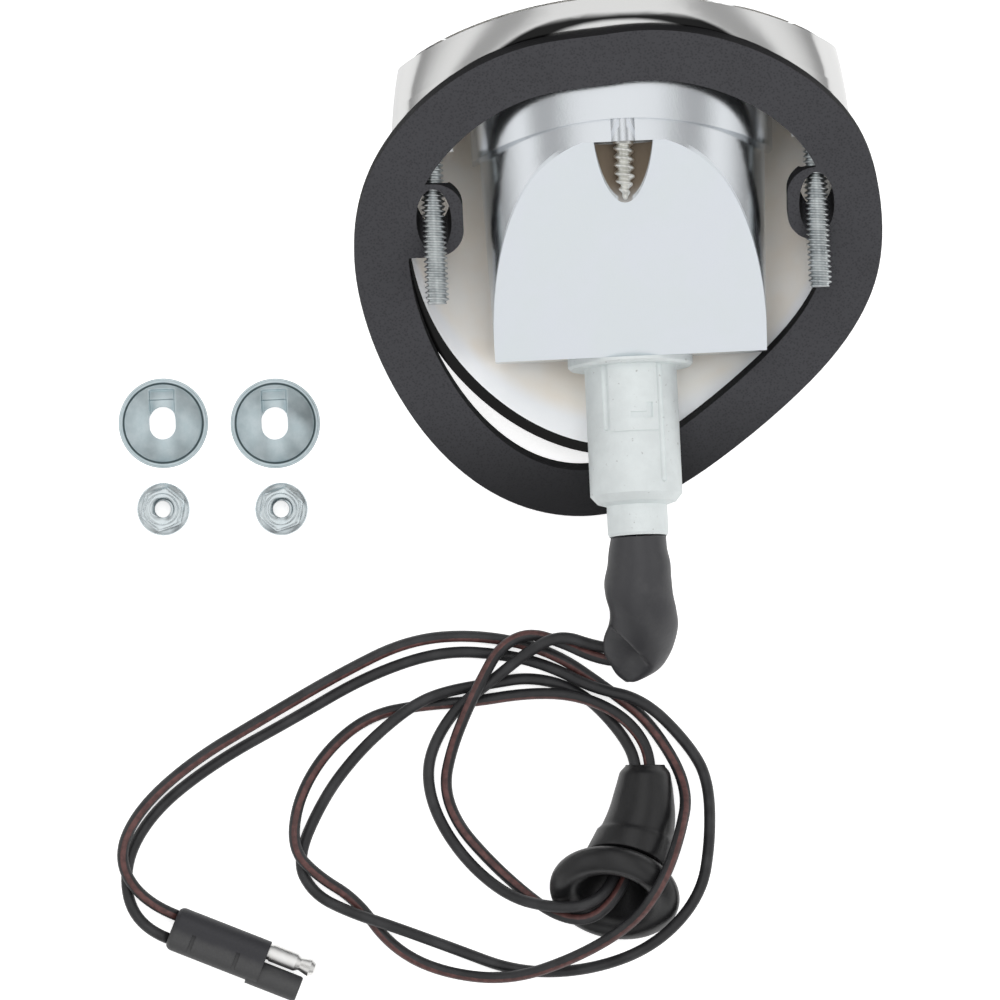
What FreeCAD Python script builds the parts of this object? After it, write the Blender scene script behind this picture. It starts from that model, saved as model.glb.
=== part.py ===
import FreeCAD, Part
import math
import os

V = FreeCAD.Vector

# Mounting: two studs, slanted mounting plane and gasket
STUD_HEIGHT = 39.0
STUD_HALF_SPACING = 39.3
STUD_R = 2.415
STUD_END_Y = -17.1
STUD_ROOT_Y = 24.0
STUD_ROOT_R = 2.8
STUD_SHOULDER_Y = 3.0
BOSS_R = 4.6
BOSS_FRONT_Y = 36.0
BOSS_REAR_Y = 14.0
PLANE_TILT = 30.0
GASKET_T = 3.0
GASKET_BAND = 11.2
EAR_HALF_WIDTH = 6.0
EAR_HALF_LENGTH = 8.4
EAR_HOLE_GAP = 1.2

# Pod
POD_WALL = 2.4
POD_BULGE = 2.9
LENS_R = 98.0
LENS_FRONT_Y = 42.6
LENS_SECTION_Y = 47.0
FRAME_DEPTH = 7.0
FRAME_T = 2.0

# Lens, seal and screw
LENS_GAP = 0.4
LENS_WALL = 2.4
LENS_PROUD = 0.6
SEAL_T = 1.0
SEAL_WIDTH = 3.0
SCREW_R = 2.085
SCREW_HEIGHT = 46.6
SCREW_HEAD_R = 3.9
SCREW_HEAD_T = 2.4
SCREW_TIP_Y = 2.2
SCREW_POINT_LENGTH = 5.0

# Reflector
REFLECTOR_WALL = 1.8
REFLECTOR_ROOF = 49.0
REFLECTOR_FLOOR_FRONT = 9.6
REFLECTOR_FLOOR_REAR = 11.0
REFLECTOR_CORNER = 11.0
ARCH_RISE = 15.5
REFLECTOR_HALF_FRONT = 30.3
REFLECTOR_HALF_REAR = 28.0
REFLECTOR_REAR_Y = -29.4
BAND_T = 1.6
BAND_DEPTH = 24.0
SLOPE_FRONT = (14.0, 48.6)
SLOPE_REAR = (-29.4, 33.4)
NOTCH_R = 6.4
NOTCH_FLOOR = 44.3
SCREW_BOSS_R = 3.4

# Bulb socket
SOCKET_Y = -29.4
SOCKET_Z = 21.6
SOCKET_TILT = 5.0
SOCKET_FLANGE_R = 13.0
SOCKET_FLANGE_T = 2.2
SOCKET_R = 9.6
SOCKET_LENGTH = 31.0
SOCKET_BORE_R = 7.8
SOCKET_BORE_LENGTH = 26.0
COLLAR_R = 6.3
COLLAR_LENGTH = 37.4
COLLAR_BORE_R = 5.1

# Bulb
BASE_R = 7.6
BASE_LENGTH = 16.0
GLASS_R = 7.4
GLASS_LENGTH = 30.0
GLASS_WALL = 0.8
CONTACT_R = 2.6

# Wires and sleeve
WIRE_D = 2.4
SLEEVE_R = 6.0
SLEEVE_BORE_R = 4.9

# Grommet
GROMMET_BORE_R = 3.6
GROMMET_FLANGE_R = 13.8
GROMMET_LIP = 2.2

# Connector
CONNECTOR_T = 7.2
CONNECTOR_WIDTH = 9.4
CONNECTOR_AT = V(-101.6, -144.8, 0)
CONNECTOR_TURN = -24.0
BODY_LENGTH = 20.8
WAY = 2.6
BULLET_R = 1.95
BULLET_LENGTH = 10.6
BARREL_R = 2.8

# Loose hardware
WASHER_R = 9.5
WASHER_T = 1.9
WASHER_RIM = 1.3
WASHER_RIM_T = 0.9
WASHER_LEAN = 30.0
WASHER_RISE = 4.4
WASHER_SLOT = 5.5
NUT_FLANGE_R = 5.7
NUT_FLATS = 8.0
NUT_HEIGHT = 5.2

LENS_AXIS_Y = LENS_FRONT_Y - LENS_R
SIN = math.sin(math.radians(PLANE_TILT))
COS = math.cos(math.radians(PLANE_TILT))

# Outlines, from the top centre round by the right
POD_RIM = [
    (0, 35.5), (14, 34.5), (27, 29.5), (37.5, 21), (44.5, 9), (46.8, -5), (44, -19), (37, -31.5),
    (28.5, -43.4), (15.5, -53.4), (-6, -58.5), (-19, -54), (-31.5, -43.8), (-41, -30), (-46, -15),
    (-47, 0), (-44, 13.5), (-36.5, 23.5), (-26.5, 30.5), (-14, 34.5),
]
LENS_END = [
    (0, 56.5), (12.5, 56), (24.5, 53.5), (33.8, 48.2), (39, 40.5), (40.5, 31), (39.7, 21.5),
    (36.3, 12.5), (29.5, 5.8), (16.5, 1.8), (0, 0.8), (-16.5, 1.8), (-29.5, 5.8), (-36.3, 12.5),
    (-39.7, 21.5), (-40.5, 31), (-39, 40.5), (-33.8, 48.2), (-24.5, 53.5), (-12.5, 56),
]
GASKET_OUTLINE = [
    (-1, 40.6), (15, 39.8), (29, 34.5), (40, 26.5), (48.3, 15.5), (52.6, -2), (51.4, -18), (45, -32),
    (33, -46.2), (19, -58.6), (5, -67.8), (-9.5, -71.6), (-24, -68.4), (-36.5, -59), (-47.8, -42),
    (-54.8, -21), (-55.9, -4), (-51.5, 12), (-43.5, 23.5), (-31.5, 33.2), (-17, 38.8),
]


# Closed smooth outline through points
def smooth_wire(points):
    curve = Part.BSplineCurve()
    curve.interpolate(Points=points, PeriodicFlag=True)
    return Part.Wire([curve.toShape()])


# Point of the slanted mounting plane, w out of the lamp
def on_plane(x, v, w):
    return V(x, v * COS - w * SIN, STUD_HEIGHT + v * SIN + w * COS)


# Flat shape drawn in the mounting plane, laid into place
def to_plane(shape, w):
    placed = shape.copy()
    placed.Placement = FreeCAD.Placement(on_plane(0, 0, w), FreeCAD.Rotation(V(1, 0, 0), PLANE_TILT))
    return placed


# Outline moved inwards by a distance
def inset(points, distance):
    moved = []
    for i, (x, y) in enumerate(points):
        before = points[i - 1]
        after = points[(i + 1) % len(points)]
        dx = after[0] - before[0]
        dy = after[1] - before[1]
        length = math.hypot(dx, dy)
        moved.append((x + dy / length * distance, y - dx / length * distance))
    return moved


# Pod body between rim and lens end, made smaller all round by a distance
def pod_body(distance):
    rim = [on_plane(x, v, -GASKET_T) for x, v in inset(POD_RIM, distance)]
    front = [V(x, LENS_SECTION_Y, z) for x, z in inset(LENS_END, distance)]
    middle = []
    for a, b in zip(rim, front):
        centre = (a + b) * 0.5
        out = V(centre.x, 0, centre.z - 30.0)
        middle.append(centre + out.normalize() * POD_BULGE)
    return Part.makeLoft([smooth_wire(rim), smooth_wire(middle), smooth_wire(front)], True, False)


# Upright cylinder round the lens axis
def lens_cylinder(depth):
    return Part.makeCylinder(LENS_R - depth, 200, V(0, LENS_AXIS_Y, -60))


# Round bar along Y
def bar_y(radius, y0, y1, x, z):
    return Part.makeCylinder(radius, y1 - y0, V(x, y0, z), V(0, 1, 0))


# Arched section of the reflector
def arch_wire(y, half, base_z, shrink):
    w = half - shrink
    roof = REFLECTOR_ROOF - shrink
    floor = base_z + shrink
    shoulder = [(1.0, 1.0), (0.945, 0.62), (0.80, 0.335), (0.5, 0.094)]
    left_side = [V(-across * w, y, roof - down * ARCH_RISE) for across, down in shoulder]
    right_side = [V(across * w, y, roof - down * ARCH_RISE) for across, down in reversed(shoulder)]
    arch = Part.BSplineCurve()
    arch.interpolate(Points=left_side + [V(0, y, roof)] + right_side)
    corner = REFLECTOR_CORNER - 0.5 * shrink
    k = corner * (1 - math.sqrt(0.5))
    right = Part.LineSegment(V(w, y, roof - ARCH_RISE), V(w, y, floor + corner))
    right_arc = Part.Arc(V(w, y, floor + corner), V(w - k, y, floor + k), V(w - corner, y, floor))
    base = Part.LineSegment(V(w - corner, y, floor), V(corner - w, y, floor))
    left_arc = Part.Arc(V(corner - w, y, floor), V(k - w, y, floor + k), V(-w, y, floor + corner))
    left = Part.LineSegment(V(-w, y, floor + corner), V(-w, y, roof - ARCH_RISE))
    return Part.Wire([c.toShape() for c in (arch, right, right_arc, base, left_arc, left)])


# Reflector tunnel made smaller by a wall
def tunnel(shrink, rear_y, front_y):
    sections = []
    for y in (rear_y, front_y):
        t = (y - REFLECTOR_REAR_Y) / (LENS_FRONT_Y - REFLECTOR_REAR_Y)
        half = REFLECTOR_HALF_REAR + (REFLECTOR_HALF_FRONT - REFLECTOR_HALF_REAR) * t
        base_z = REFLECTOR_FLOOR_REAR + (REFLECTOR_FLOOR_FRONT - REFLECTOR_FLOOR_REAR) * t
        sections.append(arch_wire(y, half, base_z, shrink))
    return Part.makeLoft(sections, True, True)


# Space above the sloping reflector face
def above_slope(drop):
    y0, z0 = SLOPE_REAR
    y1, z1 = SLOPE_FRONT
    lift = (z1 - z0) / (y1 - y0)
    corners = [V(-60, y0 - 40, z0 - 40 * lift - drop), V(-60, y1, z1 - drop), V(-60, y1, 120),
        V(-60, y0 - 40, 120)]
    face = Part.Face(Part.makePolygon(corners + corners[:1]))
    return face.extrude(V(120, 0, 0))


# Revolved profile of length and radius pairs about a line
def turned(profile, origin, direction):
    points = [V(r, 0, s) for s, r in profile]
    face = Part.Face(Part.makePolygon(points + points[:1]))
    solid = face.revolve(V(0, 0, 0), V(0, 0, 1), 360)
    solid.Placement = FreeCAD.Placement(origin, FreeCAD.Rotation(V(0, 0, 1), direction))
    return solid


# Round tube along a route of straight runs joined by tangent arcs
def tube(points, radius):
    ring = Part.makeCircle(radius, points[0], points[1] - points[0])
    faces = [Part.Face(Part.Wire([ring]))]
    start = points[0]
    for i in range(1, len(points) - 1):
        p = points[i]
        into = (p - points[i - 1]).normalize()
        out = (points[i + 1] - p).normalize()
        turn = math.acos(max(-1.0, min(1.0, into.dot(out))))
        reach = 0.45 * min(p.distanceToPoint(points[i - 1]), p.distanceToPoint(points[i + 1]))
        bend = reach / math.tan(turn / 2)
        run = p - into * reach - start
        faces.append(ring.extrude(run))
        ring = ring.translated(run)
        axis = into.cross(out).normalize()
        centre = p - into * reach + axis.cross(into) * bend
        faces.append(ring.revolve(centre, axis, math.degrees(turn)))
        ring = ring.rotated(centre, axis, math.degrees(turn))
        start = p + out * reach
    run = points[-1] - start
    faces.append(ring.extrude(run))
    faces.append(Part.Face(Part.Wire([ring.translated(run)])))
    shell = Part.makeCompound(faces)
    shell.sewShape()
    solid = Part.makeSolid(shell.Shells[0])
    if solid.Volume < 0:
        solid.reverse()
    return solid


# Node written to its file with the stud axis at height zero
def export(name, shape):
    placed = shape.copy()
    placed.translate(V(0, 0, -STUD_HEIGHT))
    placed.exportStep("parts/" + name + ".step")


os.makedirs("parts", exist_ok=True)

# Mounting studs: threaded size outside, thicker root held by the boss
studs = []
for side in (-1, 1):
    free_end = bar_y(STUD_R, STUD_END_Y, STUD_SHOULDER_Y, side * STUD_HALF_SPACING, STUD_HEIGHT)
    end_edges = [e for e in free_end.Edges if abs(e.CenterOfMass.y - STUD_END_Y) < 0.01]
    free_end = free_end.makeChamfer(0.6, end_edges)
    root = bar_y(STUD_ROOT_R, STUD_SHOULDER_Y, STUD_ROOT_Y, side * STUD_HALF_SPACING, STUD_HEIGHT)
    studs.append(free_end.fuse(root))
export("mounting_studs", Part.makeCompound(studs))

# Pod housing: hollow body, stud bosses, frame with a window for the light
outer = pod_body(0.0).common(lens_cylinder(0.0))
inner = pod_body(POD_WALL)
pod = outer.cut(inner)
for side in (-1, 1):
    boss = bar_y(BOSS_R, BOSS_REAR_Y, BOSS_FRONT_Y, side * STUD_HALF_SPACING, STUD_HEIGHT)
    pod = pod.fuse(boss.common(outer).common(lens_cylinder(FRAME_DEPTH + FRAME_T / 2)))
frame_ring = lens_cylinder(FRAME_DEPTH).cut(lens_cylinder(FRAME_DEPTH + FRAME_T))
frame_plate = outer.common(frame_ring)
frame_plate = frame_plate.common(Part.makeBox(200, 60, 120, V(-100, 10, -10)))
window = tunnel(REFLECTOR_WALL, 0.0, 60.0)
pod = pod.fuse(frame_plate.cut(window))
screw_way = bar_y(SCREW_R + 0.15, 0, 60, 0, SCREW_HEIGHT)
pod = pod.cut(screw_way)
for stud in studs:
    pod = pod.cut(stud)
export("pod_housing", pod)

# Mounting gasket: band with two ears, passed through by the slanting studs
gasket_face = Part.Face(smooth_wire([V(x, v, 0) for x, v in GASKET_OUTLINE]))
gasket_hole = Part.Face(smooth_wire([V(x, v, 0) for x, v in inset(GASKET_OUTLINE, GASKET_BAND)]))
gasket = gasket_face.cut(gasket_hole).extrude(V(0, 0, GASKET_T))
for side in (-1, 1):
    ear_x = side * STUD_HALF_SPACING
    offset = EAR_HALF_LENGTH - EAR_HALF_WIDTH
    upper = Part.makeCylinder(EAR_HALF_WIDTH, GASKET_T, V(ear_x, offset, 0))
    lower = Part.makeCylinder(EAR_HALF_WIDTH, GASKET_T, V(ear_x, -offset, 0))
    web = Part.makeBox(2 * EAR_HALF_WIDTH, 2 * offset, GASKET_T, V(ear_x - EAR_HALF_WIDTH, -offset, 0))
    root_x = ear_x if side > 0 else ear_x - EAR_HALF_WIDTH
    root = Part.makeBox(EAR_HALF_WIDTH, 2 * EAR_HALF_LENGTH, GASKET_T, V(root_x, -EAR_HALF_LENGTH, 0))
    gasket = gasket.fuse([upper, lower, web, root])
gasket = to_plane(gasket.removeSplitter(), -GASKET_T)
for side in (-1, 1):
    gasket = gasket.cut(bar_y(STUD_R + EAR_HOLE_GAP, -40, 40, side * STUD_HALF_SPACING, STUD_HEIGHT))
export("mounting_gasket", gasket)

# Reflector: arched box with sloping face, screw notch, front band and screw boss
band_front = lens_cylinder(FRAME_DEPTH + FRAME_T)
band_rear = lens_cylinder(BAND_DEPTH)
slope = above_slope(0.0)
body = tunnel(0.0, REFLECTOR_REAR_Y, 50.0).cut(slope)
body = body.common(band_front)
band = tunnel(-BAND_T, 0.0, 50.0).common(band_front).cut(band_rear)
notch = bar_y(NOTCH_R, SLOPE_REAR[0], SLOPE_FRONT[0], 0, NOTCH_FLOOR + NOTCH_R)
body = body.cut(notch).fuse(band)
cavity = tunnel(REFLECTOR_WALL, REFLECTOR_REAR_Y + REFLECTOR_WALL, 60.0).cut(above_slope(REFLECTOR_WALL))
notch_end = SLOPE_FRONT[0] + REFLECTOR_WALL
cavity = cavity.cut(bar_y(NOTCH_R + REFLECTOR_WALL, -60, notch_end, 0, NOTCH_FLOOR + NOTCH_R))
reflector = body.cut(cavity)
screw_boss = bar_y(SCREW_BOSS_R, SLOPE_FRONT[0], 60, 0, SCREW_HEIGHT).common(band_front)
reflector = reflector.fuse(screw_boss).cut(bar_y(SCREW_R, -60, 60, 0, SCREW_HEIGHT))
socket_axis = V(0, -math.cos(math.radians(SOCKET_TILT)), math.sin(math.radians(SOCKET_TILT)))
socket_origin = V(0, SOCKET_Y, SOCKET_Z)
socket_way = Part.makeCylinder(SOCKET_BORE_R + 0.6, 12, socket_origin - socket_axis * 8, socket_axis)
reflector = reflector.cut(socket_way)
export("reflector", reflector)

# Lens: curved dish in front of the frame, with its screw seat
opening = pod_body(POD_WALL + LENS_GAP)
lens_back = FRAME_DEPTH - SEAL_T
front_half = Part.makeBox(200, 80, 140, V(-100, 10, -20))
lens = opening.common(lens_cylinder(-LENS_PROUD)).cut(lens_cylinder(lens_back)).common(front_half)
hollow = pod_body(POD_WALL + LENS_GAP + SEAL_WIDTH).common(front_half)
hollow = hollow.common(lens_cylinder(LENS_WALL - LENS_PROUD))
pillar = bar_y(SCREW_HEAD_R + 1.6, 20, 60, 0, SCREW_HEIGHT)
lens = lens.cut(hollow.cut(pillar))
seat_y = LENS_FRONT_Y + LENS_PROUD - SCREW_HEAD_T
lens = lens.cut(bar_y(SCREW_HEAD_R + 0.2, seat_y, 70, 0, SCREW_HEIGHT))
lens = lens.cut(bar_y(SCREW_R + 0.15, 0, 70, 0, SCREW_HEIGHT))
export("lens", lens)

# Lens seal: thin ring between lens and frame
seal = opening.common(lens_cylinder(lens_back)).cut(lens_cylinder(FRAME_DEPTH)).common(front_half)
seal = seal.cut(pod_body(POD_WALL + LENS_GAP + SEAL_WIDTH))
export("lens_seal", seal)

# Lens screw: oval head, shank and point
screw = turned([
    (0, 0), (0, 1.6), (0.9, SCREW_HEAD_R * 0.86), (SCREW_HEAD_T * 0.6, SCREW_HEAD_R),
    (SCREW_HEAD_T, SCREW_HEAD_R),
    (SCREW_HEAD_T, SCREW_R), (seat_y + SCREW_HEAD_T - SCREW_TIP_Y - SCREW_POINT_LENGTH, SCREW_R),
    (seat_y + SCREW_HEAD_T - SCREW_TIP_Y, 0.2), (seat_y + SCREW_HEAD_T - SCREW_TIP_Y, 0)],
    V(0, seat_y + SCREW_HEAD_T, SCREW_HEIGHT), V(0, -1, 0))
for wide, tall in ((3.6, 0.9), (0.9, 3.6)):
    screw = screw.cut(Part.makeBox(wide, 1.4, tall, V(-wide / 2, seat_y + 1.0, SCREW_HEIGHT - tall / 2)))
export("lens_screw", screw)

# Socket shell: flange, grooved body and crimped collar
shell = turned([
    (-1.2, SOCKET_BORE_R), (-1.2, SOCKET_FLANGE_R), (SOCKET_FLANGE_T - 0.5, SOCKET_FLANGE_R),
    (SOCKET_FLANGE_T, SOCKET_FLANGE_R - 0.5),
    (SOCKET_FLANGE_T, SOCKET_R), (SOCKET_LENGTH - 2.2, SOCKET_R), (SOCKET_LENGTH - 0.6, SOCKET_R - 1.4),
    (SOCKET_LENGTH, COLLAR_R), (COLLAR_LENGTH - 0.6, COLLAR_R), (COLLAR_LENGTH, COLLAR_R - 0.3),
    (COLLAR_LENGTH, COLLAR_BORE_R), (SOCKET_BORE_LENGTH, COLLAR_BORE_R),
    (SOCKET_BORE_LENGTH, SOCKET_BORE_R)],
    socket_origin, socket_axis)
socket_turn = FreeCAD.Placement(socket_origin, FreeCAD.Rotation(V(0, -1, 0), socket_axis))
for x, length in ((-5.9, 13.0), (5.9, 24.0)):
    groove = Part.makeCylinder(0.8, length, V(x, -SOCKET_FLANGE_T, 8.0), V(0, -1, 0))
    groove = groove.fuse(Part.makeSphere(0.8, V(x, -SOCKET_FLANGE_T - length, 8.0)))
    groove.Placement = socket_turn
    shell = shell.cut(groove)
ring = Part.makeCylinder(SOCKET_R + 0.5, 14.0, V(0, -SOCKET_FLANGE_T, 0), V(0, -1, 0))
panel = ring.common(Part.makeBox(10.0, 14.0, 12.0, V(-4.9, -SOCKET_FLANGE_T - 14.0, 6.0)))
panel = panel.cut(Part.makeCylinder(SOCKET_BORE_R + 0.2, 60.0, V(0, 5, 0), V(0, -1, 0)))
slot = Part.makeBox(4.6, 1.3, 2.0, V(-0.6, -SOCKET_FLANGE_T - 11.4, SOCKET_R - 0.4))
slot = slot.fuse(Part.makeBox(1.3, 3.2, 2.0, V(2.7, -SOCKET_FLANGE_T - 11.4, SOCKET_R - 0.8)))
panel = panel.cut(slot)
panel.Placement = socket_turn
shell = shell.fuse(panel).cut(Part.makeBox(60, 20, 80, V(-30, REFLECTOR_REAR_Y, 0)))
export("socket_shell", shell)


# Point at a distance along the socket, to the rear
def along(distance, x=0.0):
    return socket_origin + socket_axis * distance + V(x, 0, 0)


# Bulb: base in the bore, hollow glass, filament on two posts
base_end = 14.0
base = turned([
    (0, 0), (0, CONTACT_R), (1.2, CONTACT_R), (1.2, BASE_R - 0.8), (2.0, BASE_R),
    (BASE_LENGTH + 1.2, BASE_R),
    (BASE_LENGTH + 1.2, 0)], along(base_end + 1.2), -socket_axis)
pin = Part.makeCylinder(0.9, 2 * SOCKET_BORE_R - 0.2, along(7.0, 0.1 - SOCKET_BORE_R), V(1, 0, 0))
base = base.fuse(pin)
export("bulb_base", base)
glass_start = base_end - BASE_LENGTH
globe = [
    (0, BASE_R - 0.6), (5, BASE_R - 0.3), (10, GLASS_R - 0.1), (15, GLASS_R), (20, GLASS_R - 0.4),
    (25, GLASS_R - 2.0),
    (GLASS_LENGTH - 1.2, GLASS_R - 4.6)]
globe_curve = Part.BSplineCurve()
globe_curve.interpolate(Points=[V(r, 0, s) for s, r in globe] + [V(0, 0, GLASS_LENGTH)])
globe_face = Part.Face(Part.Wire([
    globe_curve.toShape(), Part.makeLine(V(0, 0, GLASS_LENGTH), V(0, 0, 0)),
    Part.makeLine(V(0, 0, 0), V(globe[0][1], 0, 0))]))
globe_solid = globe_face.revolve(V(0, 0, 0), V(0, 0, 1), 360)
core = globe_solid.copy()
shrink = FreeCAD.Matrix()
shrink.scale(V(1 - GLASS_WALL / GLASS_R, 1 - GLASS_WALL / GLASS_R, 1 - 2 * GLASS_WALL / GLASS_LENGTH))
core = core.transformGeometry(shrink)
core.translate(V(0, 0, GLASS_WALL))
glass = globe_solid.cut(core)
posts = []
for side in (-1, 1):
    posts.append(Part.makeCylinder(0.45, 15.0, V(side * 3.0, 0, GLASS_WALL)))
filament = Part.makeCylinder(0.6, 6.9, V(-3.45, 0, 15.6), V(1, 0, 0)).fuse(posts).removeSplitter()
bulb_place = FreeCAD.Placement(along(glass_start), FreeCAD.Rotation(V(0, 0, 1), -socket_axis))
glass.Placement = bulb_place
filament.Placement = bulb_place
export("bulb_glass", glass)
export("bulb_filament", filament)

# Contact button on its fibre disc, pressed by a bowed leaf spring
button_at = base_end + 1.2
button_profile = [(0, 0), (0, CONTACT_R), (1.0, CONTACT_R), (1.0, 1.4), (4.0, 1.4), (4.0, 0)]
button = turned(button_profile, along(button_at), socket_axis)
export("contact_button", button)
disc_r = SOCKET_BORE_R - 0.3
disc = turned([(1.0, 1.4), (1.0, disc_r), (3.0, disc_r), (3.0, 1.4)], along(button_at), socket_axis)
export("contact_disc", disc)
leaf_top = button_at + 4.0
leaf_end = SOCKET_BORE_LENGTH
leaf_half = SOCKET_BORE_R - 0.8
leaf_out = Part.Arc(V(0, -leaf_half, leaf_end), V(0, 0, leaf_top), V(0, leaf_half, leaf_end)).toShape()
leaf_in = Part.Arc(V(0, -leaf_half + 0.5, leaf_end), V(0, 0, leaf_top + 0.5),
    V(0, leaf_half - 0.5, leaf_end)).toShape()
leaf_feet = [
    Part.makeLine(V(0, side * leaf_half, leaf_end),
    V(0, side * (leaf_half - 0.5), leaf_end)) for side in (-1, 1)]
leaf_face = Part.Face(Part.Wire(Part.__sortEdges__([leaf_out, leaf_in] + leaf_feet)))
leaf = leaf_face.extrude(V(2.4, 0, 0))
leaf.translate(V(-1.2, 0, 0))
leaf_place = FreeCAD.Placement(along(0), FreeCAD.Rotation(V(0, 0, 1), socket_axis))
leaf.Placement = leaf_place.multiply(leaf.Placement)
export("contact_spring", leaf)

# Sleeve over the wires, hanging from the collar and turned aside at its end
SLEEVE_ROUTE = [
    along(COLLAR_LENGTH), along(46), V(1, -83.5, 20.5), V(1.5, -89.5, 13.5), V(-2.2, -92, 8.2),
    V(-9.4, -91.2, 6.2)]
sleeve = tube(SLEEVE_ROUTE, SLEEVE_R).cut(tube(SLEEVE_ROUTE, SLEEVE_BORE_R))
export("wire_sleeve", sleeve)

# Point of the connector, along it and across it
connector_place = FreeCAD.Placement(CONNECTOR_AT, FreeCAD.Rotation(V(0, 0, 1), CONNECTOR_TURN))
way_z = CONNECTOR_T / 2


def at_connector(along_it, across):
    return connector_place.multVec(V(along_it, across, way_z))


# Wire routes: socket, sleeve, first loop, grommet, second loop, over the grommet, connector
wire_start = button_at + 3.0
FEED_ROUTE = [along(wire_start, 2.7), along(27, 2.7), along(COLLAR_LENGTH, 1.6)] + [V(*p) for p in (
    (1.4, -75, 25), (2.4, -83.7, 20.7), (2.8, -90.2, 14), (-2.2, -93.2, 8.6), (-9.5, -92.2, 6.2),
    (-17, -88.2, 3.8),
    (-24, -86, 3.9), (-30, -89, 4.8), (-34, -95.5, 6.9), (-37.5, -102, 7), (-41, -110, 3.6),
    (-43, -118, 1.4),
    (-40.5, -126, 1.2), (-34.5, -133.5, 1.8), (-28, -140, 4.2), (-21, -145.5, 9.2), (-14, -147, 12.6),
    (-8.4, -143.2, 12.6), (-3.8, -135.5, 9.6), (-0.4, -126.5, 7.2), (1.1, -115, 5.2), (-0.9, -108.6, 3.2),
    (-6.5, -103, 4), (-15, -99.4, 3.9), (-25, -98.9, 1.4), (-36, -100.2, 1.2), (-47, -100.4, 1.2),
    (-58, -102, 1.2),
    (-67.5, -109, 1.3), (-74, -119, 3.2), (-75.6, -129.5, 4.2), (-70.5, -135.5, 2.8),
    (-62.5, -141, 1.2), (-56, -151, 1.2),
    (-46, -157, 1.4), (-31, -159.4, 3.9), (-16, -154.5, 9), (-4.5, -147.5, 17), (1.5, -139.5, 23),
    (5.8, -130.5, 17),
    (8.8, -120, 6.5), (1.4, -106.2, 1.3), (-6.6, -99.4, 1.2), (-19, -90, 1.2), (-34, -86, 1.2),
    (-49, -86.4, 1.3),
    (-64, -93, 2.2), (-80, -101.4, 3.5), (-96, -110, 3.7), (-108, -120, 3.8), (-112.6, -130, 4.8))]
FEED_ROUTE += [at_connector(-7.5, WAY), at_connector(0, WAY)]
GROUND_ROUTE = [along(wire_start, -2.7), along(27, -2.7), along(COLLAR_LENGTH, -1.6)] + [V(*p) for p in (
    (-1.4, -75, 25), (-0.4, -83.3, 20.3), (0.2, -88.6, 13.4), (-2.2, -90.8, 7.6), (-9.5, -89.6, 6.4),
    (-17, -86.6, 7.6),
    (-24, -90, 5.8), (-32, -96, 4.3), (-40, -101.5, 4.3), (-45.5, -110, 1.8), (-46.5, -117.5, 1.2),
    (-44, -126, 1.2),
    (-38, -135, 2.2), (-30, -141.6, 6.6), (-22, -143.6, 12), (-14.6, -143.8, 14.6), (-9.4, -140.6, 13.6),
    (-6.6, -134.5, 9.8), (-3.4, -126.5, 7.2), (-1.7, -115, 5.4), (-5.2, -107.6, 1.6), (-13, -99, 1.2),
    (-23, -95.4, 1.2),
    (-33, -96.6, 1.3), (-41, -97.6, 2.2), (-47, -99.4, 3.8), (-53, -103.2, 3.8), (-61, -110, 1.6),
    (-68.5, -119, 1.2),
    (-75, -132, 1.2), (-71.6, -139.4, 1.4), (-64, -143.4, 3.7), (-55.5, -146.6, 3.9), (-43, -152, 1.4),
    (-29, -158, 1.2),
    (-14, -158, 4), (0, -153, 10.5), (10, -142.6, 14.5), (12.6, -131, 10.5), (13, -119, 3.5),
    (9.4, -111.5, 1.6),
    (0.2, -101.2, 3.7), (-10.6, -98.4, 3.7), (-18.5, -93.8, 1.4), (-28, -90.6, 1.2), (-42, -89, 1.2),
    (-58, -93.6, 1.2),
    (-74, -102, 1.2), (-91, -110.4, 1.2), (-105, -120.4, 1.2), (-111.8, -132, 1.3))]
GROUND_ROUTE += [at_connector(-7.5, -WAY), at_connector(0, -WAY)]
for name, route in (("feed_wire", FEED_ROUTE), ("ground_wire", GROUND_ROUTE)):
    export(name, tube(route, WIRE_D / 2))

# Grommet: bent tube that widens to a rolled flange with an open mouth
FLANGE_AT = V(-8.2, -141.8, 11.8)
FLANGE_OUT = V(-0.2, -0.715, 0.67).normalize()
GROMMET_LINE = [
    (V(-0.3, -115, 5.4), V(-0.04, -1, 0.04), 5.0, GROMMET_BORE_R),
    (V(-0.8, -120.5, 6.4), V(-0.1, -1, 0.1), 6.2, GROMMET_BORE_R),
    (V(-1.8, -126.5, 7.5), V(-0.2, -0.96, 0.22), 7.3, GROMMET_BORE_R),
    (V(-4.6, -134, 9.2), V(-0.3, -0.88, 0.36), 8.4, GROMMET_BORE_R + 0.8),
    (FLANGE_AT - FLANGE_OUT * 1.4, FLANGE_OUT, 9.4, 6.0)]
rings = [Part.Wire([Part.makeCircle(r, at, out)]) for at, out, r, bore in GROMMET_LINE]
bores = [Part.Wire([Part.makeCircle(b, at, out)]) for at, out, r, b in GROMMET_LINE]
flange = turned([
    (-3.6, 0), (-3.6, GROMMET_FLANGE_R - 2.2), (-2.8, GROMMET_FLANGE_R - 0.6), (-1.2, GROMMET_FLANGE_R),
    (0.8, GROMMET_FLANGE_R - 0.3), (GROMMET_LIP - 0.4, GROMMET_FLANGE_R - 1.6),
    (GROMMET_LIP, GROMMET_FLANGE_R - 3.2),
    (GROMMET_LIP - 0.5, 9.2), (GROMMET_LIP - 0.5, 0)], FLANGE_AT, FLANGE_OUT)
grommet = Part.makeLoft(rings, True, False).fuse(flange)
grommet = grommet.cut(Part.makeLoft(bores, True, False))
mouth = turned([(-1.6, 0), (-1.6, 6.4), (-1.0, 7.0), (GROMMET_LIP + 1, 8.8),
    (GROMMET_LIP + 1, 0)], FLANGE_AT, FLANGE_OUT)
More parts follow.
